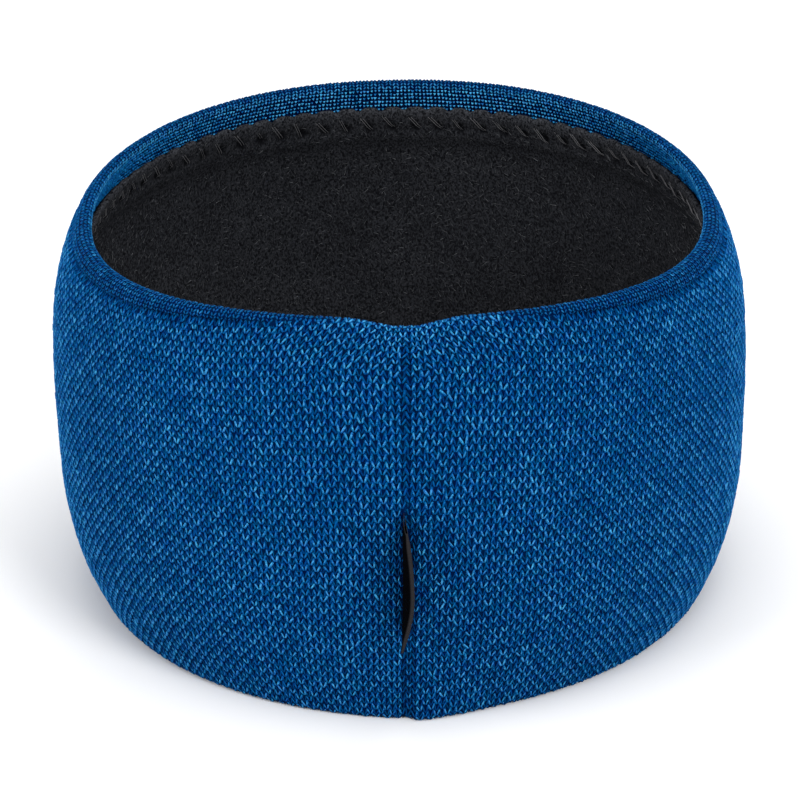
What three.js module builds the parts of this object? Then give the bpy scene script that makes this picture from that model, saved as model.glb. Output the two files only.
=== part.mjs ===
// Knitted ear warmer headband with a fleece lining and a folded label in its back seam.
// Millimetres, +Z up. It stands on its lower edge, the seam is at the back on -Y, the forehead on +Y.
import * as THREE from 'three';
import { mergeVertices } from 'three/addons/utils/BufferGeometryUtils.js';

// Overall form: the depths run from the widest line of the band to its back and to its front
const bandWidth = 170;
const backDepth = 90;
const frontDepth = 96;
const backHeight = 99.5;
const sideHeight = 94.7;
const frontHeight = 97.3;
const frontRoundness = 2.17;

// Knitted cloth: one strip, turned in along both edges
const knitWall = 1.8;
const facingWall = 1.8;
const foldGap = 0.4;
const hemTurn = 10.5;
const foot = 1.6;
const rimBand = 1.4;
const creaseDepth = 0.55;
const creaseWidth = 2.2;

// Fleece lining between the hems, its edges lapped over them
const liningWall = 2.0;
const liningLapWall = 1.8;
const liningLap = 3.0;
const clearance = 0.3;

// Back seam: a ditch on the outside, a point in plan, a dip in the rim and a lip at the lower edge
const seamDitchDepth = 1.0;
const seamDitchWidth = 5.6;
const seamPoint = 2.3;
const seamPointReach = 45;
const seamLean = 1.6;
const seamDip = 2.0;
const seamDipReach = 14;
const seamLip = 1.6;
const seamLipReach = 24;
const seamLipRise = 0.22;
const seamLeanRise = 0.5;

// Folded label, sewn into the back seam by its two ends
const labelHeight = 29;
const labelLow = 24.5;
const labelReach = 11;
const labelCloth = 0.45;
const labelOpening = 0.3;

// How sharply the forms by the seam fade out, as powers of the share of their reach that is left
const seamPointFade = 2;
const seamDipFade = 1.5;
const seamDipRise = 6;
const seamLeanSpread = 4;
const seamLipFade = 2;

// Fineness of the faceted surfaces
const evenColumns = 64;
const wallRows = 6;
const rimSteps = 5;
const cornerSteps = 2;
const labelSteps = 12;
const labelFoldSteps = 4;
const mergeDistance = 1e-3;

// Wall sections from the lower edge up: shares of the half width, the back depth and the front depth, and
// how square the back half is in plan, where 2 is an ellipse
const wallSections = [
  { rise: 0.0, side: 0.887, back: 0.959, front: 0.973, backRoundness: 1.97 },
  { rise: 0.1, side: 0.94, back: 0.98, front: 0.986, backRoundness: 1.97 },
  { rise: 0.25, side: 0.982, back: 1.0, front: 0.998, backRoundness: 1.97 },
  { rise: 0.45, side: 0.997, back: 1.0, front: 1.0, backRoundness: 1.98 },
  { rise: 0.65, side: 1.0, back: 0.971, front: 0.985, backRoundness: 2.03 },
  { rise: 0.82, side: 0.985, back: 0.939, front: 0.959, backRoundness: 2.11 },
  { rise: 0.93, side: 0.949, back: 0.925, front: 0.936, backRoundness: 2.18 },
  { rise: 1.0, side: 0.912, back: 0.922, front: 0.919, backRoundness: 2.21 },
];

// Cross-section of the seam ditch: how far from the seam, and how deep, as shares of its half width and depth
const ditchSections = [
  { away: 0.0, depth: 1.0 },
  { away: 0.3, depth: 0.95 },
  { away: 0.58, depth: 0.35 },
  { away: 1.0, depth: 0.0 },
];

// Sideways sway of the label's folded edge from its lower to its upper end, as shares of its reach
const labelSways = [
  { up: 0.0, sway: -0.06 },
  { up: 0.35, sway: 0.11 },
  { up: 0.62, sway: 0.14 },
  { up: 1.0, sway: 0.02 },
];

const foldWidth = knitWall + foldGap + facingWall;
const liningOuter = knitWall + clearance;
const liningInner = liningOuter + liningWall;
const lapOuter = foldWidth + clearance;
const lapInner = lapOuter + liningLapWall;
const slotEnd = foldWidth - 2 * foldGap;

const sectionCurve = new THREE.CubicInterpolant(
  wallSections.map((row) => row.rise),
  wallSections.flatMap((row) => [row.side, row.back, row.front, row.backRoundness]),
  4,
);
const ditchCurve = new THREE.LinearInterpolant(
  ditchSections.map((row) => row.away),
  ditchSections.map((row) => row.depth),
  1,
);
const swayCurve = new THREE.CubicInterpolant(
  labelSways.map((row) => row.up),
  labelSways.map((row) => row.sway),
  1,
);

// A number's size raised to a power, with its sign kept
function signedPower(value, power) {
  return Math.sign(value) * Math.abs(value) ** power;
}

// Height of the band at an angle round it, where 0 is the back seam and half a turn is the front
function heightAt(angle) {
  const toBack = Math.cos(angle);
  const endHeight = toBack > 0 ? backHeight : frontHeight;
  return sideHeight + (endHeight - sideHeight) * toBack ** 2;
}

// How far the outer face stands out at the lip by the seam's lower end, on the right side only
function lipAt(rise, across) {
  const up = Math.max(0, 1 - rise / seamLipRise);
  const start = THREE.MathUtils.smoothstep(across, 0, seamDitchWidth / 2);
  const end = 1 - THREE.MathUtils.smoothstep(across, seamDitchWidth / 2, seamLipReach);
  return seamLip * up ** seamLipFade * start * end;
}

// Depth of the seam ditch in the outer face, fading through the cloth's thickness
function ditchAt(across, inset) {
  const away = Math.min(1, Math.abs(across) / (seamDitchWidth / 2));
  const through = Math.max(0, 1 - inset / knitWall);
  return seamDitchDepth * ditchCurve.evaluate(away)[0] * through;
}

// Point of the wall: its share of the height, its distance in from the outer face, its angle round the band
function wallPoint(rise, inset, angle) {
  const [side, back, front, backRoundness] = sectionCurve.evaluate(rise);
  const toBack = Math.cos(angle);
  const toSide = Math.sin(angle);
  const atBack = toBack > 0;
  const halfWidth = (side * bandWidth) / 2;
  const depth = atBack ? back * backDepth : front * frontDepth;
  const roundness = atBack ? backRoundness : frontRoundness;
  const slope = (2 * (roundness - 1)) / roundness;
  const outward = new THREE.Vector2(
    signedPower(toSide, slope) / halfWidth,
    -signedPower(toBack, slope) / depth,
  ).normalize();
  const across = halfWidth * signedPower(toSide, 2 / roundness);
  const nearSeam = atBack ? Math.abs(across) : bandWidth;
  const stand = atBack ? lipAt(rise, across) - ditchAt(across, inset) : 0;
  const point = Math.max(0, 1 - nearSeam / seamPointReach) ** seamPointFade;
  const dip = Math.max(0, 1 - nearSeam / seamDipReach) ** seamDipFade * rise ** seamDipRise;
  const lean = Math.max(0, toBack) ** seamLeanSpread * (rise - seamLeanRise);
  const along = -depth * signedPower(toBack, 2 / roundness);
  return new THREE.Vector3(
    across + outward.x * (stand - inset) + seamLean * lean,
    along + outward.y * (stand - inset) - seamPoint * point,
    rise * heightAt(angle) - seamDip * dip,
  );
}

// Angles of the columns of vertices: even ones, and close ones in the seam ditch
function columnAngles() {
  const step = (2 * Math.PI) / evenColumns;
  const close = ditchSections.slice(1).map((row) => (row.away * seamDitchWidth) / 2 / backDepth);
  const angles = close.map((angle) => -angle).reverse();
  angles.push(0, ...close);
  for (let column = 1; column < evenColumns; column += 1) {
    angles.push(column * step);
  }
  return angles;
}

// Closed ring: a lathed profile whose columns are then laid round the band's own outline
function ring(profile) {
  const angles = columnAngles();
  const outline = profile.map((row) => new THREE.Vector2(backDepth - row.inset, row.rise * backHeight));
  outline.push(outline[0].clone());
  const geometry = new THREE.LatheGeometry(outline, angles.length);
  const position = geometry.getAttribute('position');
  for (let column = 0; column <= angles.length; column += 1) {
    const angle = angles[column % angles.length];
    outline.forEach((_, index) => {
      const { rise, inset } = profile[index % profile.length];
      const place = wallPoint(rise, inset, angle);
      position.setXYZ(column * outline.length + index, place.x, place.y, place.z);
    });
  }
  return merged(geometry);
}

// One closed body whose faces share their vertices
function merged(geometry) {
  geometry.deleteAttribute('normal');
  geometry.deleteAttribute('uv');
  const body = mergeVertices(geometry, mergeDistance);
  body.computeVertexNormals();
  return body;
}

// Height shares of places given in millimetres from the lower edge and from the rim
const fromFoot = (distance) => distance / backHeight;
const fromRim = (distance) => 1 - distance / backHeight;

// Rows up the wall between the two hems, all at one distance in from the outer face
function wallFace(inset) {
  const hemEnd = fromFoot(hemTurn + 2 * liningLap);
  const rows = [];
  for (let row = 0; row < wallRows; row += 1) {
    rows.push({ rise: THREE.MathUtils.lerp(hemEnd, 1 - hemEnd, row / (wallRows - 1)), inset });
  }
  return rows;
}

// Rounded fold at the rim, from the outer face over to the facing
function rimFold() {
  const radius = foldWidth / 2;
  const rows = [];
  for (let step = 0; step <= rimSteps; step += 1) {
    const turn = (Math.PI * step) / rimSteps;
    rows.push({
      rise: fromRim(radius - radius * Math.sin(turn)),
      inset: radius - radius * Math.cos(turn),
    });
  }
  return rows;
}

// Fold at the lower edge, from the facing to the outer face, pressed flat where the band stands
function footFold() {
  const radius = (foldWidth - foot) / 2;
  const corner = [];
  for (let step = 0; step <= cornerSteps; step += 1) {
    const turn = (Math.PI * step) / 2 / cornerSteps;
    corner.push({
      rise: fromFoot(radius - radius * Math.sin(turn)),
      inset: radius - radius * Math.cos(turn),
    });
  }
  const inner = corner.map((row) => ({ rise: row.rise, inset: foldWidth - row.inset }));
  return [...inner, ...corner.reverse()];
}

// Rows of the hem inside the band: down the facing, round its cut end and up the slot behind it
function turnedHem(shareOf) {
  const behind = knitWall + foldGap;
  return [
    { rise: shareOf(hemTurn - liningLap), inset: foldWidth },
    { rise: shareOf(hemTurn), inset: foldWidth },
    { rise: shareOf(hemTurn), inset: behind },
    { rise: shareOf(slotEnd), inset: behind },
    { rise: shareOf(slotEnd), inset: knitWall },
    { rise: shareOf(hemTurn), inset: knitWall },
  ];
}

// Knitted strip: the outer face from the lower fold up to the rim, then the inner face back down
function knitBand() {
  const creaseHigh = foldWidth / 2 + rimBand;
  return ring([
    ...footFold(),
    { rise: fromFoot(foldWidth), inset: 0 },
    { rise: fromFoot(hemTurn), inset: 0 },
    ...wallFace(0),
    { rise: fromRim(hemTurn), inset: 0 },
    { rise: fromRim(creaseHigh + creaseWidth), inset: 0 },
    { rise: fromRim(creaseHigh + creaseWidth / 2), inset: creaseDepth },
    { rise: fromRim(creaseHigh), inset: 0 },
    ...rimFold(),
    ...turnedHem(fromRim),
    ...wallFace(knitWall).reverse(),
    ...turnedHem(fromFoot).reverse(),
  ]);
}

// Rows of the lining's edge, which climbs over the hem's end: distances from the rim or the foot
function liningEdge(shareOf) {
  const lapEnd = hemTurn - liningLap;
  return [
    { rise: shareOf(hemTurn + clearance), inset: liningOuter },
    { rise: shareOf(hemTurn + clearance), inset: lapOuter },
    { rise: shareOf(lapEnd), inset: lapOuter },
    { rise: shareOf(lapEnd - clearance), inset: (lapOuter + lapInner) / 2 },
    { rise: shareOf(lapEnd + clearance), inset: lapInner },
    { rise: shareOf(hemTurn + clearance), inset: lapInner },
    { rise: shareOf(hemTurn + liningLap), inset: liningInner },
  ];
}

// Lining: its hidden face up the wall, the upper lap, its face towards the head and the lower lap
function fleeceLining() {
  return ring([
    ...wallFace(liningOuter),
    ...liningEdge(fromRim),
    ...wallFace(liningInner).reverse(),
    ...liningEdge(fromFoot).reverse(),
  ]);
}

// Outline of the folded label seen from above: two layers of cloth that meet in a round fold
function labelOutline() {
  const root = clearance - seamDitchDepth;
  const outside = labelCloth + labelOpening / 2;
  const inside = labelOpening / 2;
  const bend = labelReach - outside;
  const outline = new THREE.Shape();
  outline.moveTo(outside, root);
  outline.lineTo(outside, bend);
  outline.absarc(0, bend, outside, 0, Math.PI, false);
  outline.lineTo(-outside, root);
  outline.lineTo(-inside, root);
  outline.lineTo(-inside, bend);
  outline.absarc(0, bend, inside, Math.PI, 0, true);
  outline.lineTo(inside, root);
  outline.closePath();
  return outline;
}

// Label: its outline carried up the seam, swaying more the further it stands out
function seamLabel() {
  const geometry = new THREE.ExtrudeGeometry(labelOutline(), {
    depth: labelHeight,
    steps: labelSteps,
    curveSegments: labelFoldSteps,
    bevelEnabled: false,
  });
  const position = geometry.getAttribute('position');
  for (let index = 0; index < position.count; index += 1) {
    const aside = position.getX(index);
    const out = position.getY(index);
    const up = position.getZ(index);
    const seat = wallPoint((labelLow + up) / backHeight, knitWall, 0);
    const sway = (swayCurve.evaluate(up / labelHeight)[0] * Math.max(0, out) ** 2) / labelReach;
    position.setXYZ(index, seat.x - aside + sway, seat.y - knitWall - out, seat.z);
  }
  return merged(geometry);
}

// Cloth of one colour
function cloth(color, roughness) {
  return new THREE.MeshStandardMaterial({ color, roughness, metalness: 0 });
}

// Named piece of the headband
function piece(name, geometry, material) {
  const mesh = new THREE.Mesh(geometry, material);
  mesh.name = name;
  return mesh;
}

const headband = new THREE.Group();
headband.add(piece('knit_band', knitBand(), cloth(0x0a5a9c, 0.85)));
headband.add(piece('fleece_lining', fleeceLining(), cloth(0x1b1b1f, 0.97)));
headband.add(piece('seam_label', seamLabel(), cloth(0x17171a, 0.7)));

// The origin is the middle of the footprint, on the surface that the band stands on
const extent = new THREE.Box3().setFromObject(headband);
const middle = extent.getCenter(new THREE.Vector3());
headband.position.set(-middle.x, -middle.y, -extent.min.z);

export default headband;
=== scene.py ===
import collections
import math

import bpy
import numpy as np
from mathutils import Matrix, Vector


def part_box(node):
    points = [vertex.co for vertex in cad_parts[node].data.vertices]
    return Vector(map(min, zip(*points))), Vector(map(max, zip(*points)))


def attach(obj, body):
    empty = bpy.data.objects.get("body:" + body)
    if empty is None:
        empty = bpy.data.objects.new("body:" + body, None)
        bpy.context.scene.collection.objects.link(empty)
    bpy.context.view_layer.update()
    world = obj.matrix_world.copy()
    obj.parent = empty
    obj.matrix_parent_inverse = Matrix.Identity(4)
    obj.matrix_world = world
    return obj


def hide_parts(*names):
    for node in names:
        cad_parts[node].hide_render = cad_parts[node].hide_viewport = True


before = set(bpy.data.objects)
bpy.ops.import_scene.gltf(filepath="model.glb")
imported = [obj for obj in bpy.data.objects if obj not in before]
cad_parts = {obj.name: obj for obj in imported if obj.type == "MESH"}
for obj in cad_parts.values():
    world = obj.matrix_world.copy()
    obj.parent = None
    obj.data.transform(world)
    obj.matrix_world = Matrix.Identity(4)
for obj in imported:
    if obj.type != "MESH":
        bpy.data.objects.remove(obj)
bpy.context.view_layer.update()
mm = 0.001

# Knitted cloth of the band: one strip of two-colour bird's eye knit, turned in along both edges as hems and
# closed into a ring by the back seam. This piece is the cloth itself, the dark back of the yarns that shows
# between the stitches. The stitches that stand out of it are the next pieces.
band_width = 170 * mm
back_depth = 90 * mm
front_depth = 96 * mm
back_height = 99.5 * mm
side_height = 94.7 * mm
front_height = 97.3 * mm
front_roundness = 2.17
knit_wall = 1.8 * mm
fold_gap = 0.4 * mm
facing_wall = 1.8 * mm
hem_turn = 10.5 * mm
foot = 1.6 * mm
crease_below_fold = 2.4 * mm
crease_depth = 0.55 * mm
crease_width = 1.8 * mm
crease_fade = (16 * mm, 38 * mm)
seam_ditch_depth = 1.0 * mm
seam_ditch_width = 5.6 * mm
seam_point = 2.3 * mm
seam_point_reach = 45 * mm
seam_lean = 1.6 * mm
seam_dip = 2.4 * mm
seam_dip_reach = 14 * mm
seam_lip = 1.6 * mm
seam_lip_reach = 24 * mm
seam_lip_rise = 0.22
ground_sink = 0.3 * mm
slot_end = 3.2 * mm

Section = collections.namedtuple("Section", "rise side back front roundness")
wall_sections = [
    Section(0.0, 0.887, 0.959, 0.973, 1.97),
    Section(0.1, 0.94, 0.98, 0.986, 1.97),
    Section(0.25, 0.982, 1.0, 0.998, 1.97),
    Section(0.45, 0.997, 1.0, 1.0, 1.98),
    Section(0.65, 1.0, 0.971, 0.985, 2.03),
    Section(0.82, 0.985, 0.939, 0.959, 2.11),
    Section(0.93, 0.949, 0.925, 0.936, 2.18),
    Section(1.0, 0.912, 0.922, 0.919, 2.21),
]
Ditch = collections.namedtuple("Ditch", "away depth")
ditch_sections = [Ditch(0.0, 1.0), Ditch(0.3, 0.95), Ditch(0.58, 0.35), Ditch(1.0, 0.0)]
Lift = collections.namedtuple("Lift", "away rise")
crease_lifts = [
    Lift(0 * mm, 5.6 * mm),
    Lift(15 * mm, 5.3 * mm),
    Lift(25 * mm, 4.0 * mm),
    Lift(38 * mm, 2.4 * mm),
    Lift(52 * mm, 1.5 * mm),
    Lift(72 * mm, 0.3 * mm),
    Lift(90 * mm, 0.0 * mm),
    Lift(100 * mm, 0.0 * mm),
    Lift(1000 * mm, 0.0 * mm),
]

fold_width = knit_wall + fold_gap + facing_wall
rim_radius = fold_width / 2
foot_radius = (fold_width - foot) / 2


def smooth_curve(rows, across, up, at):
    """Curve through a table's rows, whose slope at each row is the mean of the slopes on its two sides."""
    knots = np.array([getattr(row, across) for row in rows])
    values = np.array([getattr(row, up) for row in rows])
    slopes = np.diff(values) / np.diff(knots)
    slopes = np.concatenate([slopes[:1], (slopes[1:] + slopes[:-1]) / 2, slopes[-1:]])
    i = np.clip(np.searchsorted(knots, at, side="right") - 1, 0, len(knots) - 2)
    span = knots[i + 1] - knots[i]
    t = (at - knots[i]) / span
    start = values[i] * (1 - t) ** 2 * (1 + 2 * t) + slopes[i] * span * t * (1 - t) ** 2
    end = values[i + 1] * t * t * (3 - 2 * t) - slopes[i + 1] * span * t * t * (1 - t)
    return start + end


def signed_power(value, power):
    """A number's size raised to a power, with its sign kept."""
    return np.sign(value) * np.abs(value) ** power


def smooth_step(value, low, high):
    """0 below low, 1 above high and smooth between them."""
    t = np.clip((value - low) / (high - low), 0, 1)
    return t * t * (3 - 2 * t)


# The band is set forward so that the middle of its footprint is the origin
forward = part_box("knit_band")[1].y - front_depth * smooth_curve(
    wall_sections, "rise", "front", np.linspace(0, 1, 500)
).max()


def wall_point(rise, inset, angle):
    """Points of the wall: share of its height, distance in from its face, angle from the back seam."""
    rise, inset, angle = np.broadcast_arrays(rise, inset, angle)
    side, back, front, back_roundness = (
        smooth_curve(wall_sections, "rise", name, rise) for name in Section._fields[1:]
    )
    to_back, to_side = np.cos(angle), np.sin(angle)
    at_back = to_back > 0
    half_width = side * band_width / 2
    depth = np.where(at_back, back * back_depth, front * front_depth)
    roundness = np.where(at_back, back_roundness, front_roundness)
    slope = 2 * (roundness - 1) / roundness
    out_x = signed_power(to_side, slope) / half_width
    out_y = -signed_power(to_back, slope) / depth
    length = np.hypot(out_x, out_y)
    across = half_width * signed_power(to_side, 2 / roundness)
    near_seam = np.where(at_back, np.abs(across), band_width)
    away = np.minimum(1, near_seam / (seam_ditch_width / 2))
    through = np.maximum(0, 1 - inset / knit_wall)
    ditch = seam_ditch_depth * smooth_curve(ditch_sections, "away", "depth", away) * through
    lip = seam_lip * np.maximum(0, 1 - rise / seam_lip_rise) ** 2
    lip = lip * smooth_step(across, 0, seam_ditch_width / 2)
    lip = lip * (1 - smooth_step(across, seam_ditch_width / 2, seam_lip_reach))
    stand = np.where(at_back, lip - ditch, 0) - inset
    point = seam_point * np.maximum(0, 1 - near_seam / seam_point_reach) ** 2
    dip = seam_dip * np.maximum(0, 1 - near_seam / seam_dip_reach) ** 1.3 * np.maximum(0, rise) ** 6
    lean = seam_lean * np.maximum(0, to_back) ** 4 * (rise - 0.5)
    end_height = np.where(at_back, back_height, front_height)
    height = side_height + (end_height - side_height) * to_back**2
    x = across + out_x / length * stand + lean
    y = -depth * signed_power(to_back, 2 / roundness) + out_y / length * stand - point + forward
    return np.stack([x, y, rise * height - dip], -1)


# Angles at even steps along the girth, half way up the wall
fine_angles = np.linspace(0, 2 * math.pi, 4001)
fine_steps = np.linalg.norm(np.diff(wall_point(0.5, 0.0, fine_angles), axis=0), axis=1)
girth_so_far = np.concatenate([[0], np.cumsum(fine_steps)])
girth = girth_so_far[-1]


def angle_at(along):
    """Angle round the band at a distance along its girth from the back seam."""
    whole = np.floor(along / girth)
    return np.interp(along - whole * girth, girth_so_far, fine_angles) + whole * 2 * math.pi


def from_seam(along):
    """Distance along the girth from the back seam, on its one side or the other."""
    return (along + girth / 2) % girth - girth / 2


def arc(height, inset, radius, start, end, steps):
    """Points (height, inset) on an arc of the cloth's profile. Angle 0 is outwards, a quarter turn is up."""
    turns = np.radians(np.linspace(start, end, steps + 1))
    return [(height + radius * math.sin(t), inset - radius * math.cos(t)) for t in turns]


# Profile of the cloth that shows: up from the lower hem's cut end, round the foot, up the wall, over the rim
# and down to the upper hem's cut end
foot_rows = [
    (hem_turn, fold_width),
    *arc(foot_radius, fold_width - foot_radius, foot_radius, 180, 270, 5),
    *arc(foot_radius, foot_radius, foot_radius, -90, 0, 5),
]
rim_rows = [
    *arc(back_height - rim_radius, rim_radius, rim_radius, 0, 180, 14),
    (back_height - hem_turn, fold_width),
]
profile = np.array([*foot_rows, *rim_rows])
profile_so_far = np.concatenate([[0], np.cumsum(np.linalg.norm(np.diff(profile, axis=0), axis=1))])
cloth_length = profile_so_far[-1]
foot_path = profile_so_far[len(foot_rows) - 1]
fold_path = profile_so_far[len(foot_rows)]
facing_path = profile_so_far[-2]
crease_path = fold_path - crease_below_fold


def crease_lift(along):
    """How much nearer to the rim the crease runs by the back seam."""
    return smooth_curve(crease_lifts, "away", "rise", np.abs(from_seam(along)))


def crease_share(along):
    """How much of a crease there is: it is lost by the back seam."""
    return smooth_step(np.abs(from_seam(along)), *crease_fade)


def cloth_point(along, path, out):
    """Points of the cloth, given along the girth, up the cloth from its lower hem's end, and out of it."""
    away = np.minimum(1, np.abs(path - crease_path - crease_lift(along)) / (crease_width / 2))
    out = out - crease_depth * np.cos(math.pi / 2 * away) ** 2 * crease_share(along)
    reach = 0.2 * mm
    after = np.stack([np.interp(path + reach, profile_so_far, profile[:, i]) for i in (0, 1)], -1)
    before = np.stack([np.interp(path - reach, profile_so_far, profile[:, i]) for i in (0, 1)], -1)
    slope = after - before
    slope = slope / np.maximum(np.linalg.norm(slope, axis=-1, keepdims=True), 1e-9)
    height = np.interp(path, profile_so_far, profile[:, 0]) + out * slope[..., 1]
    inset = np.interp(path, profile_so_far, profile[:, 1]) - out * slope[..., 0]
    return wall_point(height / back_height, inset, angle_at(along))


def new_cloth(name, points, outside_out=True):
    """A closed tube of cloth. Its points are columns round the band, each with its rows round the cloth."""
    columns, rows = points.shape[:2]
    column, row = np.meshgrid(np.arange(columns), np.arange(rows), indexing="ij")
    after, above = (column + 1) % columns, (row + 1) % rows
    corners = [column * rows + row, after * rows + row, after * rows + above, column * rows + above]
    faces = np.stack(corners, -1).reshape(-1, 4)
    mesh = bpy.data.meshes.new(name)
    mesh.vertices.add(columns * rows)
    mesh.vertices.foreach_set("co", points.astype(np.float32).ravel())
    mesh.loops.add(faces.size)
    mesh.loops.foreach_set("vertex_index", faces.astype(np.int32).ravel())
    mesh.polygons.add(len(faces))
    mesh.polygons.foreach_set("loop_start", np.arange(0, faces.size, 4, dtype=np.int32))
    mesh.update(calc_edges=True)
    mesh.polygons.foreach_set("use_smooth", np.full(len(faces), True))
    # The faces are laid out in two strips, one above the other
    half = columns // 2
    margin = 0.004
    places = []
    for along, up in ((0, 0), (1, 0), (1, 1), (0, 1)):
        u = (column % half + along) / half
        v = (row + up) / rows
        u = margin + (1 - 2 * margin) * u
        v = (column // half + margin + (1 - 2 * margin) * v) / 2
        places.append(np.stack([u, v], -1))
    layout = np.stack(places, 2).astype(np.float32)
    mesh.uv_layers.new(name="OFBake").data.foreach_set("uv", layout.ravel())
    if not outside_out:
        mesh.flip_normals()
    piece = bpy.data.objects.new(name, mesh)
    bpy.context.scene.collection.objects.link(piece)
    return piece


def set_attribute(piece, name, values):
    """A number at each vertex, which the piece's material reads."""
    layer = piece.data.attributes.new(name, "FLOAT", "POINT")
    layer.data.foreach_set("value", np.asarray(values, np.float32).ravel())


def node(tree, kind, values=(), links=(), **settings):
    """A shader node with its settings, its plain values and what its inputs are linked from."""
    made = tree.nodes.new("ShaderNode" + kind)
    for name, value in settings.items():
        setattr(made, name, value)
    for socket, value in dict(values).items():
        made.inputs[socket].default_value = value
    for socket, source in dict(links).items():
        tree.links.new(source, made.inputs[socket])
    return made


def shades(tree, share, stops):
    """A colour ramp with these stops, each a place and a colour."""
    ramp = node(tree, "ValToRGB", links={0: share})
    elements = ramp.color_ramp.elements
    while len(elements) < len(stops):
        elements.new(0.5)
    for element, (place, colour) in zip(elements, stops, strict=True):
        element.position = place
        element.color = (*colour, 1)
    return ramp.outputs["Color"]


def material(name, roughness, specular, tint=(1, 1, 1)):
    """A Principled material with nothing linked to it yet. Returns it, its tree and its shader."""
    made = bpy.data.materials.new(name)
    made.use_nodes = True
    shader = made.node_tree.nodes["Principled BSDF"]
    shader.inputs["Roughness"].default_value = roughness
    shader.inputs["Specular IOR Level"].default_value = specular
    shader.inputs["Specular Tint"].default_value = (*tint, 1)
    return made, made.node_tree, shader


def fibre_group():
    """Fine fibres on a yarn: a mottled shade from 0 to 1 and a height for bump, in the part's own place."""
    tree = bpy.data.node_groups.new("yarn_fibres", "ShaderNodeTree")
    fineness = tree.interface.new_socket("Fineness", in_out="INPUT", socket_type="NodeSocketFloat")
    fineness.default_value = 2200.0
    tree.interface.new_socket("Shade", in_out="OUTPUT", socket_type="NodeSocketFloat")
    tree.interface.new_socket("Height", in_out="OUTPUT", socket_type="NodeSocketFloat")
    tree.interface.new_socket("Hue", in_out="OUTPUT", socket_type="NodeSocketFloat")
    given = tree.nodes.new("NodeGroupInput")
    out = tree.nodes.new("NodeGroupOutput")
    place = node(tree, "TexCoord").outputs["Object"]
    fine = node(
        tree,
        "TexNoise",
        {"Detail": 3.0, "Roughness": 0.65},
        {"Vector": place, "Scale": given.outputs["Fineness"]},
    )
    shade = node(tree, "MapRange", {"From Min": 0.3, "From Max": 0.7}, {"Value": fine.outputs["Fac"]})
    wide = node(tree, "TexNoise", {"Scale": 800.0, "Detail": 1.0}, {"Vector": place})
    hue = node(
        tree,
        "MapRange",
        {"From Min": 0.3, "From Max": 0.7, "To Min": 0.49, "To Max": 0.511},
        {"Value": wide.outputs["Fac"]},
    )
    tree.links.new(shade.outputs["Result"], out.inputs["Shade"])
    tree.links.new(fine.outputs["Fac"], out.inputs["Height"])
    tree.links.new(hue.outputs["Result"], out.inputs["Hue"])
    return tree


yarn_fibres = fibre_group()
# Painted shade at the two ends of each leg of yarn, where the legs tuck under their neighbours
end_shade = 0.6


def yarn(name, stops, grain=0.5, bump=0.4):
    """Yarn in shades of one colour, each stitch with its own tone, with painted shade in its hollows and at
    its ends and a partly painted highlight at the top of its ramp.
    """
    made, tree, shader = material(name, 0.85, 0.04, (0.1, 0.45, 1.0))
    fibres = node(tree, "Group", node_tree=yarn_fibres)
    tone = node(tree, "Attribute", attribute_name="tone").outputs["Fac"]
    low, high = 1 - grain / 2, 1 + grain / 2
    mottle = node(tree, "MapRange", {"To Min": low, "To Max": high}, {"Value": fibres.outputs["Shade"]})
    # Painted shade: each leg darkens towards its two ends
    lengthwise = node(tree, "Attribute", attribute_name="lengthwise").outputs["Fac"]
    square = node(tree, "Math", links={0: lengthwise, 1: lengthwise}, operation="MULTIPLY")
    ends = node(tree, "Math", {1: -end_shade, 2: 1.0}, {0: square.outputs[0]}, operation="MULTIPLY_ADD")
    share = node(tree, "Math", links={0: tone, 1: mottle.outputs["Result"]}, operation="MULTIPLY")
    share = node(
        tree, "Math", links={0: share.outputs[0], 1: ends.outputs[0]}, operation="MULTIPLY", use_clamp=True
    )
    colour = node(
        tree,
        "HueSaturation",
        links={"Hue": fibres.outputs["Hue"], "Color": shades(tree, share.outputs[0], stops)},
    )
    tree.links.new(colour.outputs["Color"], shader.inputs["Base Color"])
    bumps = node(tree, "Bump", {"Strength": bump, "Distance": 0.1 * mm}, {"Height": fibres.outputs["Height"]})
    tree.links.new(bumps.outputs["Normal"], shader.inputs["Normal"])
    return made


ground_columns = 420
hidden_rows = [
    (back_height - hem_turn, knit_wall + fold_gap),
    (back_height - slot_end, knit_wall + fold_gap),
    (back_height - slot_end, knit_wall),
    *[(slot_end + (back_height - 2 * slot_end) * s, knit_wall) for s in np.linspace(0.92, 0.08, 9)],
    (slot_end, knit_wall),
    (slot_end, knit_wall + fold_gap),
    (hem_turn, knit_wall + fold_gap),
]
shown_paths = np.concatenate([
    np.linspace(0, foot_path, 14)[:-1],
    np.linspace(foot_path, crease_path - crease_width, 24)[:-1],
    np.linspace(crease_path - crease_width, fold_path, 16)[:-1],
    np.linspace(fold_path, facing_path, 12)[:-1],
    np.linspace(facing_path, cloth_length, 5),
])
ground_along = (np.arange(ground_columns) * girth / ground_columns)[:, None]
shown_points = cloth_point(ground_along, shown_paths[None, :], -ground_sink)
hidden_heights, hidden_insets = np.array(hidden_rows).T
hidden_points = wall_point(hidden_heights / back_height, hidden_insets, angle_at(ground_along))
knit_ground = new_cloth("knit_ground", np.concatenate([shown_points, hidden_points], axis=1))
set_attribute(knit_ground, "tone", np.full(len(knit_ground.data.vertices), 0.5))
navy_shades = [(0.0, (0.0, 0.002, 0.018)), (1.0, (0.0, 0.012, 0.06))]
knit_ground.data.materials.append(yarn("knit_ground_yarn", navy_shades))
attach(knit_ground, "root")
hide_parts("knit_band")

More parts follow.
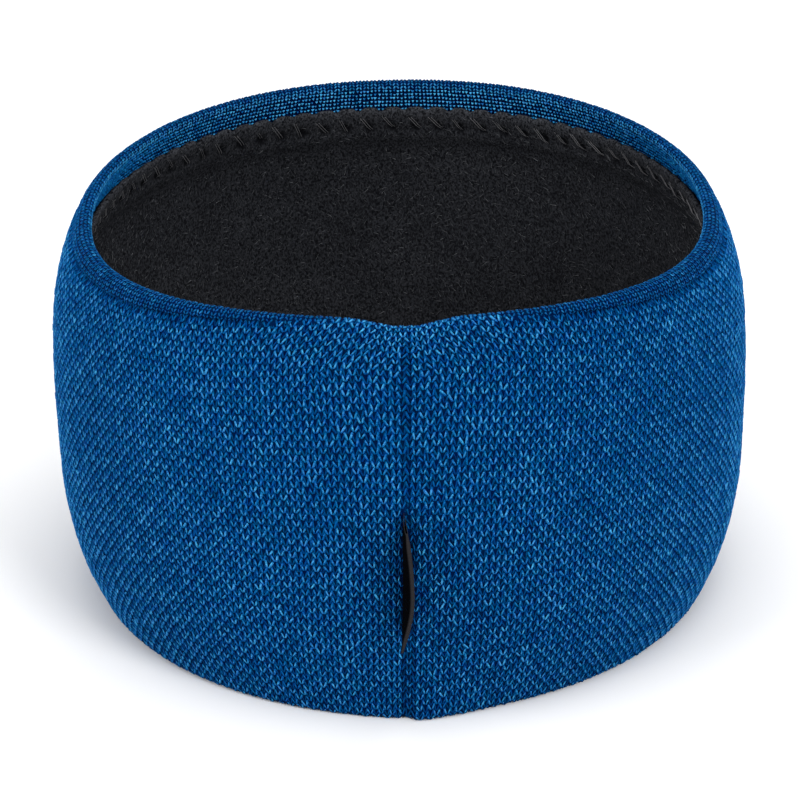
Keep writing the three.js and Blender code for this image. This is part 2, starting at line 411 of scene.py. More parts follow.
# Face stitches of the wall: light blue and navy yarn take turns along and up the cloth, like a chessboard, so
# that the light ones make a net of small V shapes. Each V is two legs of yarn, and the cloth is knitted flat,
# stitch beside stitch, and then laid round the band. Along the seam the stitches part in lines.
wale_width = 1.5 * mm
course_height = 1.5 * mm
wall_path = foot_path - 1.6 * mm
wales = 2 * round(girth / wale_width / 2)
wall_courses = 4 * round((crease_path - wall_path) / course_height / 4)
seam_gather = 0.38
seam_gather_reach = 22 * mm
seam_gather_heights = (86 * mm, 100 * mm)
seam_line_reach = 2.0 * mm
seam_line_fade = 4 * mm
seam_fill = 0.6 * mm
ditch_opens = (17 * mm, 23 * mm)
ditch_closes = (54 * mm, 60 * mm)
above_floor = 0.02 * mm
course_squeeze = 0.5
seam_light = 0.3
# Painted shade along the crease: how wide its dark line is and how dark
crease_line = 0.45 * mm
crease_shade = 0.6

# The seam's lines: where each parts the stitches, from and to which height, how far it parts them, and the
# painted shade along the parting, how dark and how wide
SeamLine = collections.namedtuple("SeamLine", "at low high parting shade width")
seam_lines = [
    SeamLine(0.1 * mm, 46 * mm, 99 * mm, 0.05 * mm, 0.4, 0.9 * mm),
    SeamLine(-0.3 * mm, -5 * mm, 50 * mm, 0.2 * mm, 0.85, 0.4 * mm),
    SeamLine(1.8 * mm, -5 * mm, 50 * mm, 0.2 * mm, 0.7, 0.4 * mm),
]


def deselect():
    """Nothing is selected, so that the next operator acts on its own piece alone."""
    for other in bpy.context.selected_objects:
        other.select_set(False)


def apply_modifiers(piece):
    """The piece's modifiers become part of its mesh."""
    deselect()
    bpy.context.view_layer.objects.active = piece
    piece.select_set(True)
    for modifier in list(piece.modifiers):
        bpy.ops.object.modifier_apply(modifier=modifier.name)


def coordinates(piece):
    """The piece's vertices as an array."""
    verts = np.zeros(len(piece.data.vertices) * 3)
    piece.data.vertices.foreach_get("co", verts)
    return verts.reshape(-1, 3)


def knit_stitch(name, width, height, thick, foot_gap, spread, round_ends=True):
    """One knitted V in a flat frame, X along and Y up. Its foot is at the origin, its legs lean outwards."""
    run_x = (spread - foot_gap) * wale_width
    run = math.hypot(run_x, height)
    lean = math.atan2(run_x, height)
    deselect()
    if round_ends:
        bpy.ops.mesh.primitive_uv_sphere_add(segments=3, ring_count=3, radius=0.5)
    else:
        bpy.ops.mesh.primitive_cylinder_add(vertices=3, radius=0.43, depth=0.9, end_fill_type="NOTHING")
    leg = bpy.context.object
    leg.name = name
    ball = coordinates(leg)
    across, up, out = ball[:, 1], ball[:, 2], ball[:, 0]
    # The rings move towards the ends, which makes the leg an even yarn with rounded ends
    up = np.where(np.abs(up) < 0.49, up * 1.45, up)
    across, up, out = across * width, up * run, out * thick
    flat = np.stack([
        across * math.cos(lean) + up * math.sin(lean) + (foot_gap + spread) / 2 * wale_width,
        up * math.cos(lean) - across * math.sin(lean) + height / 2,
        out,
    ], -1)
    leg.data.vertices.foreach_set("co", flat.ravel())
    leg.data.update()
    mirror = leg.modifiers.new("other leg", "MIRROR")
    mirror.use_mirror_merge = False
    apply_modifiers(leg)
    return leg


def knit_field(stitch, across, up, width, height, staggered=False):
    """Copies the stitch over a flat cloth. A staggered field leaves out every other one."""
    offsets = [("wales", across, (width, 0, 0)), ("courses", up, (0, height, 0))]
    if staggered:
        offsets = [
            ("twin", 2, (width, height, 0)),
            ("wales", across // 2, (2 * width, 0, 0)),
            ("courses", up // 2, (0, 2 * height, 0)),
        ]
    for name, count, offset in offsets:
        copies = stitch.modifiers.new(name, "ARRAY")
        copies.count = count
        copies.use_relative_offset = False
        copies.use_constant_offset = True
        copies.constant_offset_displace = offset
    apply_modifiers(stitch)


def loosen(piece, per_stitch, seed, shift, turn, size):
    """Puts each stitch of a flat field a little out of place. Returns their vertices, stitch by stitch."""
    verts = coordinates(piece).reshape(-1, per_stitch, 3)
    draw = np.random.default_rng(seed)
    count = len(verts)
    middle = verts.mean(1, keepdims=True)
    off = verts - middle
    turns = draw.normal(0, turn, (count, 1))
    off = np.stack([
        off[..., 0] * np.cos(turns) - off[..., 1] * np.sin(turns),
        off[..., 0] * np.sin(turns) + off[..., 1] * np.cos(turns),
        off[..., 2],
    ], -1)
    off = off * (1 + draw.normal(0, size, (count, 1, 1)))
    return middle + off + draw.normal(0, 1, (count, 1, 3)) * np.array(shift), draw


def remove(piece, gone):
    """Takes some of the piece's vertices off, with their faces."""
    mesh = piece.data
    mesh.polygons.foreach_set("select", np.zeros(len(mesh.polygons), bool))
    mesh.edges.foreach_set("select", np.zeros(len(mesh.edges), bool))
    mesh.vertices.foreach_set("select", gone)
    bpy.ops.object.mode_set(mode="EDIT")
    bpy.ops.mesh.delete(type="VERT")
    bpy.ops.object.mode_set(mode="OBJECT")


def leg_tones(draw, flat, mean, spread):
    """How light each stitch is. Its two legs differ a little."""
    count, per_stitch = flat.shape[:2]
    stitch = draw.normal(mean, spread, (count, 1))
    legs = np.repeat(draw.normal(1, 0.08, (count, 2)), per_stitch // 2, 1)
    return np.clip(stitch * legs, 0.08, 1.15)


def set_lengthwise(piece, flat):
    """Marks each leg of a field of stitches from -1 at its one end to 1 at its other."""
    low = flat[..., 1].min(1, keepdims=True)
    reach = np.ptp(flat[..., 1], axis=1, keepdims=True)
    set_attribute(piece, "lengthwise", 2 * (flat[..., 1] - low) / reach - 1)


def seam_share(line, height):
    """How much of a seam line there is at a height."""
    above = smooth_step(height, line.low, line.low + seam_line_fade)
    return above * (1 - smooth_step(height, line.high - seam_line_fade, line.high))


def near_seam(along):
    """1 at the seam, less and less away from it."""
    return np.exp(-((from_seam(along) / seam_gather_reach) ** 2))


def part_at_seam(along, path):
    """Gathers the stitches to the seam at the rim, and parts them along the seam's lines."""
    height = path - foot_path + foot_radius
    off = from_seam(along)
    near = near_seam(along) * smooth_step(height, *seam_gather_heights)
    moved = off * (1 - seam_gather * near)
    for line in seam_lines:
        side = np.sign(np.mean(off, 1, keepdims=True) - line.at)
        share = seam_share(line, height) * np.exp(-np.abs(off - line.at) / seam_line_reach)
        moved = moved + side * line.parting * share
    return along + moved - off


def ditch_fill(along, path):
    """How far the stitches stand out of the seam ditch, above and below the label."""
    height = path - foot_path + foot_radius
    at_label = smooth_step(height, *ditch_opens) * (1 - smooth_step(height, *ditch_closes))
    away = np.minimum(1, np.abs(from_seam(along)) / (seam_ditch_width / 2))
    return seam_fill * smooth_curve(ditch_sections, "away", "depth", away) * (1 - at_label)


def crease_and_seam_shade(along, path):
    """Painted shade on the stitches along the crease and along the seam's lines, where the cloth turns
    inwards.
    """
    height = path - foot_path + foot_radius
    off_crease = (path - crease_path - crease_lift(along)) / crease_line
    tone = 1 - crease_shade * crease_share(along) * np.exp(-(off_crease**2))
    for line in seam_lines:
        away = (from_seam(along) - line.at) / line.width
        tone = tone * (1 - line.shade * seam_share(line, height) * np.exp(-(away**2)))
    return tone


def map_stitches(piece, along, path, out):
    """Maps each stitch where it lies on the flat cloth, in two strips, with its hidden underside apart."""
    mesh = piece.data
    corners = np.zeros(len(mesh.loops), np.int32)
    mesh.loops.foreach_get("vertex_index", corners)
    totals = np.zeros(len(mesh.polygons), np.int32)
    mesh.polygons.foreach_get("loop_total", totals)
    face = np.repeat(np.arange(len(totals)), totals)
    flat_along, flat_path, flat_out = along.ravel()[corners], path.ravel()[corners], out.ravel()[corners]
    under = (np.bincount(face, flat_out) / totals < -0.05 * mm)[face]
    half = (np.bincount(face, flat_along) / totals > girth / 2)[face]
    u = 0.01 + 0.96 * (flat_along - half * girth / 2 + 2 * mm) / (girth / 2 + 4 * mm)
    v = (flat_path - flat_path.min()) / np.ptp(flat_path)
    v = np.where(under, 0.005 + 0.055 * v + 0.065 * half, 0.14 + 0.42 * v + 0.43 * half)
    mesh.uv_layers.new(name="OFBake").data.foreach_set("uv", np.stack([u, v], -1).ravel())


def finish_stitches(piece, along, path, out, stand, tone, finish, hollow_shade=0.55):
    """Lays a field's vertices on the band, and gives them their tones with painted shade, their map and their
    finish.
    """
    mesh = piece.data
    points = cloth_point(along, path, out + stand - ground_sink + ditch_fill(along, path))
    points[..., 2] = np.maximum(points[..., 2], above_floor)
    mesh.vertices.foreach_set("co", points.ravel())
    mesh.update()
    map_stitches(piece, along, path, out)
    # Painted shade: each stitch is darker where it lies low, in its hollows, and darker still in the crease
    # and along the seam's lines
    rise = np.clip((out - out.min()) / np.ptp(out), 0, 1)
    set_attribute(piece, "tone", tone * (1 - hollow_shade + hollow_shade * rise) * crease_and_seam_shade(along, path))
    mesh.polygons.foreach_set("use_smooth", np.full(len(mesh.polygons), True))
    mesh.materials.clear()
    mesh.materials.append(finish)
    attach(piece, "root")


# The pale top of each yarn's ramp is partly a painted highlight, where the fibres catch the light; the rest
# of the ramp is the yarn's own colour
light_yarn = yarn(
    "light_blue_yarn", [(0.0, (0.0, 0.009, 0.045)), (0.5, (0.001, 0.09, 0.3)), (1.0, (0.06, 0.35, 0.68))], 0.8
)
navy_yarn = yarn("navy_yarn", [(0.0, (0.0, 0.005, 0.035)), (1.0, (0.0, 0.066, 0.235))], 0.8)
half_courses = wall_courses // 2
scale_along = girth / (wales * wale_width)

Field = collections.namedtuple(
    "Field", "name finish first stand tone round_ends width thick tall gap spread seed"
)
wall_fields = [
    Field("light_stitches", light_yarn, 0, 0.12 * mm, 0.78, True, 0.78 * mm, 0.56 * mm, 1.2, 0.08, 0.57, 11),
    Field("navy_stitches", navy_yarn, 1, 0.0, 0.75, False, 0.8 * mm, 0.53 * mm, 1.04, 0.14, 0.5, 13),
]
for field in wall_fields:
    for part, start in (("lower", 0), ("upper", half_courses)):
        stitches = knit_stitch(
            f"{field.name}_{part}",
            field.width,
            field.tall * course_height,
            field.thick,
            field.gap,
            field.spread,
            field.round_ends,
        )
        per_stitch = len(stitches.data.vertices)
        knit_field(stitches, wales, half_courses, wale_width, course_height, True)
        flat, draw = loosen(
            stitches, per_stitch, field.seed + start, (0.08 * mm, 0.08 * mm, 0.05 * mm), 0.13, 0.08
        )
        along = (flat[..., 0] + (0.5 + field.first) * wale_width) * scale_along
        share = (flat[..., 1] / course_height + start) / wall_courses
        share = share + course_squeeze * near_seam(along) * share**8 * (1 - share)
        path = wall_path + share * (crease_path + crease_lift(along) - wall_path)
        along = part_at_seam(along, path)
        tone = leg_tones(draw, flat, field.tone, 0.06) * (1 + seam_light * near_seam(along) * share**12)
        finish_stitches(stitches, along, path, flat[..., 2], field.stand + 0.06 * mm, tone, field.finish)
        set_lengthwise(stitches, flat)

# Stitches of the rim and of the foot: past the crease the cloth is plain knit in one blue. Its stitches are
# wider and shorter, and run over the fold. The lower hem's fold is knitted in the same way.
plain_wale = 2.15 * mm
plain_course = 1.0 * mm
plain_wales = round(girth / plain_wale)
# Painted light: the stitches of the inner facing, past the fold, are made up to twice as light, where the
# band shades them
inner_painted_light = 1.0
inner_painted_light_fade = (4 * mm, 6 * mm)
# The pale top of this ramp is partly a painted highlight on the fibres
plain_yarn = yarn(
    "plain_blue_yarn", [(0.0, (0.0, 0.012, 0.06)), (0.5, (0.003, 0.08, 0.26)), (1.0, (0.04, 0.28, 0.6))], 0.7
)

PlainField = collections.namedtuple("PlainField", "name low high over_crease seed")
plain_fields = [
    PlainField("rim_stitches", crease_path - 0.2 * mm, facing_path + 0.2 * mm, True, 31),
    PlainField("foot_stitches", foot_path - 6.4 * mm, wall_path + 0.3 * mm, False, 37),
]
for field in plain_fields:
    courses = round((field.high - field.low) / plain_course)
    stitches = knit_stitch(field.name, 0.66 * mm, 0.95 * plain_course, 0.5 * mm, 0.13, 0.5)
    per_stitch = len(stitches.data.vertices)
    knit_field(stitches, plain_wales, courses, plain_wale, plain_course)
    flat, draw = loosen(stitches, per_stitch, field.seed, (0.05 * mm, 0.05 * mm, 0.03 * mm), 0.05, 0.06)
    along = (flat[..., 0] / plain_wale + 0.5) * girth / plain_wales
    path = field.low + flat[..., 1] / plain_course / courses * (field.high - field.low)
    if field.over_crease:
        # The wall's own stitches take the place of the rim's where the crease runs nearer to the fold
        kept = (path - crease_lift(along)).mean(1) > crease_path - 0.3 * mm
        remove(stitches, np.repeat(~kept, per_stitch))
        flat, along, path = flat[kept], along[kept], path[kept]
    along = part_at_seam(along, path)
    tone = leg_tones(draw, flat, 0.6, 0.08)
    tone = tone * (1 + inner_painted_light * smooth_step(path - fold_path, *inner_painted_light_fade))
    finish_stitches(stitches, along, path, flat[..., 2], 0.1 * mm, tone, plain_yarn, 0.4)
    set_lengthwise(stitches, flat)

# Purl side of the hems: where the cloth is turned in, its back shows as rows of small round bumps of yarn.
purl_row = 1.1 * mm
purl_pitch = plain_wale / 2
side_shade = 0.6
# The pale top of this ramp is partly a painted highlight on the bumps
purl_yarn = yarn(
    "purl_yarn", [(0.0, (0.0, 0.014, 0.07)), (0.5, (0.006, 0.15, 0.44)), (1.0, (0.08, 0.46, 0.86))], 0.7
)

PurlField = collections.namedtuple("PurlField", "name low rows seed")
purl_fields = [
    PurlField("upper_hem_purls", facing_path + 0.1 * mm, 6, 41),
    PurlField("lower_hem_purls", foot_path - 12.4 * mm, 6, 43),
]
for field in purl_fields:
    deselect()
    bpy.ops.mesh.primitive_uv_sphere_add(segments=3, ring_count=3, radius=0.5)
    purls = bpy.context.object
    purls.name = field.name
    bump = coordinates(purls) * np.array([0.95, 1.05, 0.7]) * mm
    purls.data.vertices.foreach_set("co", bump.ravel())
    per_stitch = len(bump)
    knit_field(purls, 2 * plain_wales, field.rows, purl_pitch, purl_row)
    flat, draw = loosen(purls, per_stitch, field.seed, (0.08 * mm, 0.08 * mm, 0.04 * mm), 0.2, 0.1)
    along = (flat[..., 0] / purl_pitch + 0.5) * girth / (2 * plain_wales)
    path = field.low + flat[..., 1] + purl_row / 2
    tone = np.clip(draw.normal(0.95, 0.18, (len(flat), 1)), 0.1, 1.2)
    # Painted shade: the bumps are darker round the two ends of the band
    tone = tone * (1 - side_shade * np.sin(angle_at(along)) ** 2)
    finish_stitches(purls, along, path, flat[..., 2], 0.16 * mm, tone, purl_yarn, 0.45)

# Fleece lining: a strip of brushed black fleece inside the band, with its two edges lapped over the hems. A
# zigzag stitch holds each lap: it pulls notches into the edge and dimples into the fleece below it.
lining_wall = 2.0 * mm
lining_lap_wall = 1.8 * mm
lining_lap = 3.0 * mm
clearance = 0.3 * mm
scallop_pitch = 6.5 * mm
notch_depth = 1.15 * mm
notch_width = 1.1 * mm
dimple_depth = 1.4 * mm
dimple_length = 1.7 * mm
dimple_width = 1.1 * mm
lap_light_reach = 4.5 * mm
puff_height = 0.22 * mm
stitch_top = 1.8 * mm
stitch_drop = 6.1 * mm
stitch_slant = 3.6 * mm
lining_outer = knit_wall + clearance
lining_inner = lining_outer + lining_wall
lap_outer = fold_width + clearance
lap_inner = lap_outer + lining_lap_wall
lap_end = hem_turn - lining_lap
scallops = round(girth / scallop_pitch)
lining_columns = scallops * 10


def lap_rows(sign, base):
    """Rows of the lap over one hem, from its hidden side round the edge: height, inset, wave and puff."""
    radius = lining_lap_wall / 2
    rows = [
        (hem_turn + clearance, lining_outer, 0, 0),
        (hem_turn + clearance, lap_outer, 0, 0),
        (lap_end + 2.2 * mm, lap_outer, 0.6, 0),
    ]
    for turn in np.radians(np.linspace(-70, 70, 6)):
        edge = lap_end - 0.4 * mm + radius * (1 - math.cos(turn))
        rows.append((edge, lap_outer + radius * (1 + math.sin(turn)), 1.0, 0.5))
    for step in range(1, 10):
        wave, puff = max(0.0, 1 - step / 4), max(0.0, 1 - abs(step - 2) / 3)
        rows.append((lap_end + step * 0.9 * mm, lap_inner, wave, puff))
    rows.append((lap_end + 10 * mm, (lap_inner + lining_inner) / 2, 0, 0))
    return [(base + sign * height, inset, sign * wave, puff) for height, inset, wave, puff in rows]


outer_heights = np.linspace(hem_turn + 4 * mm, back_height - hem_turn - 4 * mm, 6)
inner_heights = np.linspace(back_height - lap_end - 13 * mm, lap_end + 13 * mm, 16)
lining_rows = [
    *[(height, lining_outer, 0, 0) for height in outer_heights],
    *lap_rows(-1, back_height),
    *[(height, lining_inner, 0, 0) for height in inner_heights],
    *lap_rows(1, 0)[::-1],
]
row_heights, row_insets, row_waves, row_puffs = (np.array(x)[None, :] for x in zip(*lining_rows, strict=True))
lining_along = (np.arange(lining_columns) * girth / lining_columns)[:, None]
draw = np.random.default_rng(5)
notch_sizes = draw.uniform(0.55, 1.25, scallops)
pitch = girth / scallops


def from_stitch(along, offset):
    """Distance along the girth from the nearest point of the zigzag, which is set off this much."""
    return (along - offset + pitch / 2) % pitch - pitch / 2


notch_size = notch_sizes[np.round(lining_along / pitch).astype(int) % scallops]
notch = np.exp(-((from_stitch(lining_along, 0) / notch_width) ** 2)) * notch_size
lining_heights = row_heights + row_waves * notch_depth * notch
top_stitches = back_height - lap_end - stitch_drop
low_stitches = lap_end + stitch_drop


def pulled_in(along, height):
    """How deep the zigzag pulls the fleece in, at its inner points."""
    slant = math.atan2(stitch_drop - stitch_top, stitch_slant)
    depth = 0
    for stitches, edge in ((top_stitches, 1), (low_stitches, -1)):
        aside, up = from_stitch(along, -stitch_slant), (height - stitches) * edge
        lengthwise = aside * math.cos(slant) + up * math.sin(slant) - dimple_length / 2
        crosswise = aside * math.sin(slant) - up * math.cos(slant)
        depth = depth + np.exp(-((lengthwise / dimple_length) ** 2) - (crosswise / dimple_width) ** 2)
    return dimple_depth * depth


shown_side = row_insets > lining_outer + 1 * mm
puff = puff_height * row_puffs * (1 - notch)
insets = row_insets + shown_side * (puff - pulled_in(lining_along, lining_heights))
insets = insets + shown_side * draw.normal(0, 0.05 * mm, insets.shape)
lining_points = wall_point(lining_heights / back_height, insets, angle_at(lining_along))
fleece_cloth = new_cloth("fleece_cloth", lining_points, False)
from_edge = back_height / 2 - lap_end - np.abs(lining_heights - back_height / 2)
edge_share = np.clip(1 - from_edge / lap_light_reach, 0, 1)
# Painted shade: the fleece is darkened in the dimples that the zigzag pulls in. It is also lighter near the
# edge of each lap.
lit = 1 - 0.95 * smooth_step(pulled_in(lining_along, lining_heights), 0.1 * dimple_depth, 0.65 * dimple_depth)
set_attribute(fleece_cloth, "tone", (0.5 + 0.5 * edge_share) * lit)
flat_places = np.stack(np.broadcast_arrays(lining_along, row_heights + 0 * lining_along, row_insets), -1)
flat_layer = fleece_cloth.data.attributes.new("flat", "FLOAT_VECTOR", "POINT")
flat_layer.data.foreach_set("vector", flat_places.astype(np.float32).ravel())


def fleece_material(name, dark, light):
    """Black fleece: short brushed pile in curls, with paler tips and dark hollows."""
    made, tree, shader = material(name, 1.0, 0.02)
    place = node(tree, "Attribute", attribute_name="flat").outputs["Vector"]
    curls = []
    for turn, scale in ((0.85, 2300.0), (-0.8, 1900.0)):
        nap = node(tree, "Mapping", {"Rotation": (0, 0, turn), "Scale": (1.0, 0.7, 1.0)}, {"Vector": place})
        curl = node(
            tree,
            "TexNoise",
            {"Scale": scale, "Detail": 3.0, "Roughness": 0.6},
            {"Vector": nap.outputs["Vector"]},
        )
        curls.append(curl.outputs["Fac"])
    both = node(tree, "Math", links={0: curls[0], 1: curls[1]}, operation="MULTIPLY")
    share = node(tree, "MapRange", {"From Min": 0.17, "From Max": 0.33}, {"Value": both.outputs[0]})
    wide = node(tree, "TexNoise", {"Scale": 90.0, "Detail": 2.0}, {"Vector": place})
    patches = node(tree, "MapRange", {"To Min": 0.65, "To Max": 1.35}, {"Value": wide.outputs["Fac"]})
    tone = node(tree, "Attribute", attribute_name="tone").outputs["Fac"]
    tone = node(tree, "Math", links={0: tone, 1: patches.outputs["Result"]}, operation="MULTIPLY").outputs[0]
    share = node(
        tree, "Math", links={0: share.outputs["Result"], 1: tone}, operation="MULTIPLY", use_clamp=True
    )
    colour = shades(tree, share.outputs[0], [(0.0, dark), (1.0, light)])
    tree.links.new(colour, shader.inputs["Base Color"])
    bumps = node(tree, "Bump", {"Strength": 0.9, "Distance": 0.4 * mm}, {"Height": both.outputs[0]})
    tree.links.new(bumps.outputs["Normal"], shader.inputs["Normal"])
    return made


fleece_cloth.data.materials.append(
    fleece_material("black_fleece", (0.004, 0.0044, 0.0056), (0.055, 0.058, 0.067))
)
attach(fleece_cloth, "root")
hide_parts("fleece_lining")

# Pile of the fleece: short loose fibres that stand a little out of it and catch the light.
fibre_length = 1.5 * mm
fibre_width = 0.12 * mm
fibre_columns = 300
fibre_rows = 76
deselect()
bpy.ops.mesh.primitive_cone_add(vertices=3, radius1=0.5, radius2=0, depth=1, end_fill_type="NOTHING")
pile = bpy.context.object
pile.name = "fleece_pile"
strand = coordinates(pile) * np.array([fibre_width, fibre_width, fibre_length])
pile.data.vertices.foreach_set("co", strand[:, [0, 2, 1]].ravel())
per_fibre = len(strand)
fibre_low = lap_end + 0.2 * mm
fibre_high = back_height - lap_end - 0.2 * mm
fibre_pitch = ((girth / fibre_columns), (fibre_high - fibre_low) / fibre_rows)
knit_field(pile, fibre_columns, fibre_rows, *fibre_pitch)
flat = coordinates(pile).reshape(-1, per_fibre, 3)
draw = np.random.default_rng(17)
count = len(flat)
middle = flat.mean(1, keepdims=True)
off = flat - middle
turns = draw.normal(-0.7, 0.9, (count, 1))
lift = draw.uniform(0.1, 0.45, (count, 1))
off = np.stack([
    off[..., 0] * np.cos(turns) - off[..., 1] * np.sin(turns),
    off[..., 0] * np.sin(turns) + off[..., 1] * np.cos(turns),
    off[..., 2] + off[..., 1] * lift,
], -1) * draw.uniform(0.5, 1.3, (count, 1, 1))
flat = middle + off + draw.uniform(-0.5, 0.5, (count, 1, 3)) * np.array([*fibre_pitch, 0])
fibre_height = np.clip(flat[..., 1] + fibre_low, fibre_low - 1 * mm, fibre_high + 1 * mm)
lap_share = np.maximum(
    smooth_step(fibre_height, back_height - hem_turn - 7.5 * mm, back_height - hem_turn - 5.6 * mm),
    1 - smooth_step(fibre_height, hem_turn + 5.6 * mm, hem_turn + 7.5 * mm),
)
fibre_inset = lining_inner + (lap_inner - lining_inner) * lap_share
fibre_inset = fibre_inset - pulled_in(flat[..., 0], fibre_height) + flat[..., 2] + 0.12 * mm
pile_points = wall_point(fibre_height / back_height, fibre_inset, angle_at(flat[..., 0]))
pile.data.vertices.foreach_set("co", pile_points.ravel())
pile.data.update()
pile_material, pile_tree, pile_shader = material("fleece_fibre", 0.9, 0.1)
fibre_tone = node(pile_tree, "Attribute", attribute_name="tone").outputs["Fac"]
pile_tree.links.new(
    shades(pile_tree, fibre_tone, [(0.0, (0.012, 0.012, 0.015)), (1.0, (0.28, 0.29, 0.31))]),
    pile_shader.inputs["Base Color"],
)
# Painted shade: the fibres are darkened in the zigzag's dimples. Their random pale tones are partly the
# fibres' own colour and partly painted glints.
fibre_shade = 1 - smooth_step(pulled_in(flat[..., 0], fibre_height), 0, 0.6 * dimple_depth)
set_attribute(pile, "tone", draw.beta(1.5, 4.0, (count, 1)) * fibre_shade)
pile.data.materials.append(pile_material)
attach(pile, "root")

# Zigzag threads: at each point of the zigzag a pair of grey threads runs slanting down into the fleece.
thread_width = 0.13 * mm
thread_pair = 0.75 * mm
thread_stand = 0.28 * mm
thread_dive = 0.9 * mm
thread_sag = 0.2 * mm
thread_run = (stitch_slant, stitch_drop - stitch_top)
for name, sign, base in (("upper_threads", -1, back_height), ("lower_threads", 1, 0.0)):
    deselect()
    bpy.ops.mesh.primitive_cylinder_add(vertices=4, radius=0.5, depth=1)
    threads = bpy.context.object
    threads.name = name
    bpy.ops.object.mode_set(mode="EDIT")
    bpy.ops.mesh.select_all(action="SELECT")
    bpy.ops.mesh.bisect(plane_co=(0, 0, 0.25), plane_no=(0, 0, 1))
    bpy.ops.mesh.select_all(action="SELECT")
    bpy.ops.mesh.bisect(plane_co=(0, 0, -0.05), plane_no=(0, 0, 1))
    bpy.ops.mesh.select_all(action="SELECT")
    bpy.ops.mesh.bisect(plane_co=(0, 0, -0.3), plane_no=(0, 0, 1))
    bpy.ops.object.mode_set(mode="OBJECT")
    round_thread = coordinates(threads)
    share = round_thread[:, 2] + 0.5
    sideways = round_thread[:, 0] * thread_width
    # Both ends of a thread dive into the fleece, and its middle sinks a little into the pile
    rise = thread_stand - thread_dive * np.abs(2 * share - 1) ** 6
    rise = rise - thread_sag * np.exp(-(((share - 0.55) / 0.12) ** 2))
    flat_thread = np.stack([
        -share * thread_run[0] + sideways,
        -share * thread_run[1],
        round_thread[:, 1] * thread_width + rise,
    ], -1)
    threads.data.vertices.foreach_set("co", flat_thread.ravel())
    knit_field(threads, 2, 1, thread_pair, 0)
    per_pair = len(threads.data.vertices)
    knit_field(threads, scallops, 1, pitch, 0)
    flat, draw = loosen(threads, per_pair, 53 + sign, (0.35 * mm, 0.3 * mm, 0.14 * mm), 0.09, 0.1)
    along = flat[..., 0] - thread_pair / 2
    height = base + sign * (lap_end + stitch_top - flat[..., 1])
    points = wall_point(height / back_height, lap_inner + flat[..., 2], angle_at(along))
    threads.data.vertices.foreach_set("co", points.ravel())
    threads.data.update()
    thread_material, _, thread_shader = material(f"{name}_grey", 0.6, 0.3)
    thread_shader.inputs["Base Color"].default_value = (0.16, 0.16, 0.17, 1)
    threads.data.materials.append(thread_material)
    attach(threads, "root")

# Seam label: a loop of narrow woven tape, folded once and sewn into the back seam by its two ends. It is left
# bare. It stands out from the wall, its middle leans to one side, and it shows its folded edge.
label_height = 29.8 * mm
label_low = 24.6 * mm
label_aside = -0.5 * mm
label_reach = 11 * mm
label_cloth = 0.25 * mm
label_opening = 0.7 * mm
label_pinch = 0.4
label_pinch_reach = 5 * mm
label_end_pinch = 0.55
label_end_reach = 4 * mm
label_root = -0.7 * mm
# Painted light on the tape's folded edge: how far out it starts, over how much it fades in, and where and how
# softly it stops towards the left side
fold_light_from = 9.9 * mm
fold_light_fade = 0.6 * mm
fold_light_side = 0.5 * mm
fold_side_fade = 0.2 * mm
label_rows = 88

Sway = collections.namedtuple("Sway", "up sway")
label_sways = [Sway(0.0, -0.06), Sway(0.35, 0.15), Sway(0.62, 0.15), Sway(1.0, 0.04)]


def label_layer(half_width):
    """One face of the folded tape, seen from above: sideways and outward places from one end to the other."""
    bend = label_reach - label_opening / 2 - label_cloth
    out = np.linspace(label_root, bend, 15)
    turns = np.radians(np.linspace(0, 180, 9))[1:-1]
    side = [(-half_width, o) for o in out]
    fold = [(-half_width * math.cos(t), bend + half_width * math.sin(t)) for t in turns]
    return np.array(side + fold + [(-x, o) for x, o in side[::-1]])


outline = np.concatenate([
    label_layer(label_opening / 2 + label_cloth),
    label_layer(label_opening / 2)[::-1],
])
outline_count = len(outline)
label_ups = np.linspace(0, label_height, label_rows)
seat = wall_point((label_low + label_ups) / back_height, knit_wall, 0.0)
sway = smooth_curve(label_sways, "up", "sway", label_ups / label_height)
aside, out = outline[:, 0][None, :], outline[:, 1][None, :]
# The two layers lie together where they are sewn in, and the fold is pressed flat at its two ends
from_end = np.minimum(label_ups, label_height - label_ups)[:, None]
pressed = label_end_pinch + (1 - label_end_pinch) * smooth_step(from_end, 0, label_end_reach)
sewn = label_pinch + (1 - label_pinch) * smooth_step(out, 0, label_pinch_reach)
label_x = seat[:, 0][:, None] + label_aside - aside * pressed * sewn
label_x = label_x + sway[:, None] * np.maximum(0, out) ** 2 / label_reach
label_y = seat[:, 1][:, None] - knit_wall - out
label_z = seat[:, 2][:, None] + 0 * out
label_points = np.stack([label_x, label_y, label_z], -1)
row, spot = np.meshgrid(np.arange(label_rows - 1), np.arange(outline_count), indexing="ij")
beside = (spot + 1) % outline_count
sides = np.stack([
    row * outline_count + spot,
    (row + 1) * outline_count + spot,
    (row + 1) * outline_count + beside,
    row * outline_count + beside,
], -1).reshape(-1, 4)
across = np.arange(outline_count // 2 - 1)
back_across = outline_count - 1 - across
low_end = np.stack([across, across + 1, back_across - 1, back_across], -1)
high_end = low_end[:, ::-1] + (label_rows - 1) * outline_count
label_faces = np.concatenate([sides, low_end, high_end])
label_mesh = bpy.data.meshes.new("label_tape")
label_mesh.from_pydata(label_points.reshape(-1, 3).tolist(), [], label_faces.tolist())
label_mesh.update()
label_tape = bpy.data.objects.new("label_tape", label_mesh)
bpy.context.scene.collection.objects.link(label_tape)
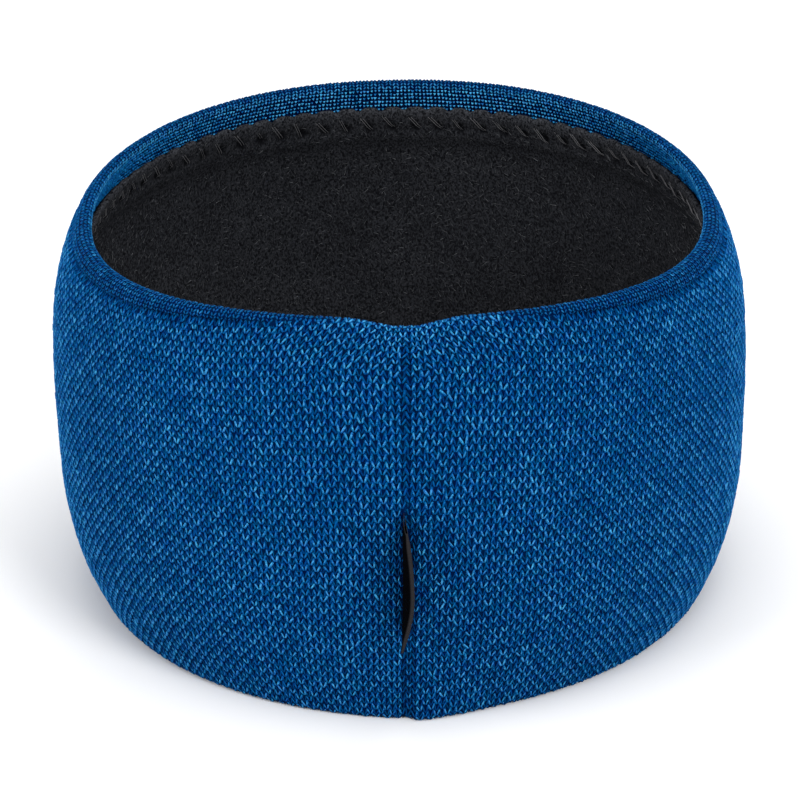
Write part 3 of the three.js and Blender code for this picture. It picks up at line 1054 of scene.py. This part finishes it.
# Painted light: the folded edge of the tape is lit, all but its left side, and so is its upper cut end, for
# its sheen; the rest keeps the tape's own black
fold_painted_light = np.clip((out - fold_light_from) / fold_light_fade, 0, 1)
fold_painted_light = fold_painted_light * np.clip((fold_light_side - aside) / fold_side_fade, 0, 1)
cut_end = (label_ups > label_height - 0.1 * mm)[:, None]
set_attribute(label_tape, "tone", np.maximum(fold_painted_light + 0 * label_x, cut_end))
label_material, label_tree, label_shader = material("black_tape", 1.0, 0.01)
ribs = node(
    label_tree,
    "TexWave",
    {"Scale": 1 / (0.5 * mm) / 6.28, "Distortion": 1.5, "Detail": 2.0, "Detail Scale": 3.0},
    {"Vector": node(label_tree, "TexCoord").outputs["Object"]},
    bands_direction="Z",
)
tape_painted_light = node(label_tree, "Attribute", attribute_name="tone").outputs["Fac"]
label_tree.links.new(
    shades(label_tree, tape_painted_light, [(0.0, (0.0008, 0.0008, 0.0012)), (1.0, (0.019, 0.018, 0.0195))]),
    label_shader.inputs["Base Color"],
)
tape_bumps = node(
    label_tree, "Bump", {"Strength": 0.5, "Distance": 0.15 * mm}, {"Height": ribs.outputs["Fac"]}
)
label_tree.links.new(tape_bumps.outputs["Normal"], label_shader.inputs["Normal"])
label_mesh.materials.append(label_material)
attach(label_tape, "root")
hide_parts("seam_label")

# Camera: the photo looks at the back of the band from a little above, with a long lens and a slight roll.
elevation = math.radians(22.93)
azimuth = math.radians(-0.5)
roll = math.radians(1.0)
camera_distance = 1.241
look = Vector((
    -math.sin(azimuth) * math.cos(elevation),
    math.cos(azimuth) * math.cos(elevation),
    -math.sin(elevation),
))
camera_data = bpy.data.cameras.new("camera")
camera = bpy.data.objects.new("camera", camera_data)
bpy.context.scene.collection.objects.link(camera)
camera.location = Vector((0, forward, 50 * mm)) - look * camera_distance
turn = look.to_track_quat("-Z", "Y").to_matrix().to_4x4() @ Matrix.Rotation(-roll, 4, "Z")
camera.rotation_euler = turn.to_euler()
camera_data.sensor_width = 36
camera_data.lens = 225.9
camera_data.shift_y = -0.0286
camera_data.clip_end = 20
bpy.context.scene.camera = camera

# Studio: a pale floor and soft lights from the front and from above.
bpy.ops.mesh.primitive_plane_add(size=6, location=(0, 1.2, 0))
floor = bpy.context.object
floor.name = "floor"
floor_material, _, floor_shader = material("pale_floor", 0.9, 0.2)
floor_shader.inputs["Base Color"].default_value = (0.9, 0.9, 0.9, 1)
floor.data.materials.append(floor_material)


def soft_light(name, place, size, power):
    """A square lamp that faces the band."""
    lamp = bpy.data.lights.new(name, "AREA")
    lamp.size = size
    lamp.energy = power
    made = bpy.data.objects.new(name, lamp)
    made.location = place
    made.rotation_euler = (Vector((0, 0, 0.05)) - Vector(place)).to_track_quat("-Z", "Y").to_euler()
    bpy.context.scene.collection.objects.link(made)


soft_light("front_light", (0.8, -1.3, 1.1), 0.7, 16)
soft_light("left_light", (-1.4, -0.8, 0.9), 0.9, 11)
soft_light("top_light", (0.1, 0.2, 1.6), 1.2, 12)
world = bpy.data.worlds.new("studio")
world.use_nodes = True
world.node_tree.nodes["Background"].inputs["Color"].default_value = (1, 1, 1, 1)
world.node_tree.nodes["Background"].inputs["Strength"].default_value = 0.75
bpy.context.scene.world = world
bpy.context.scene.view_settings.view_transform = "Standard"
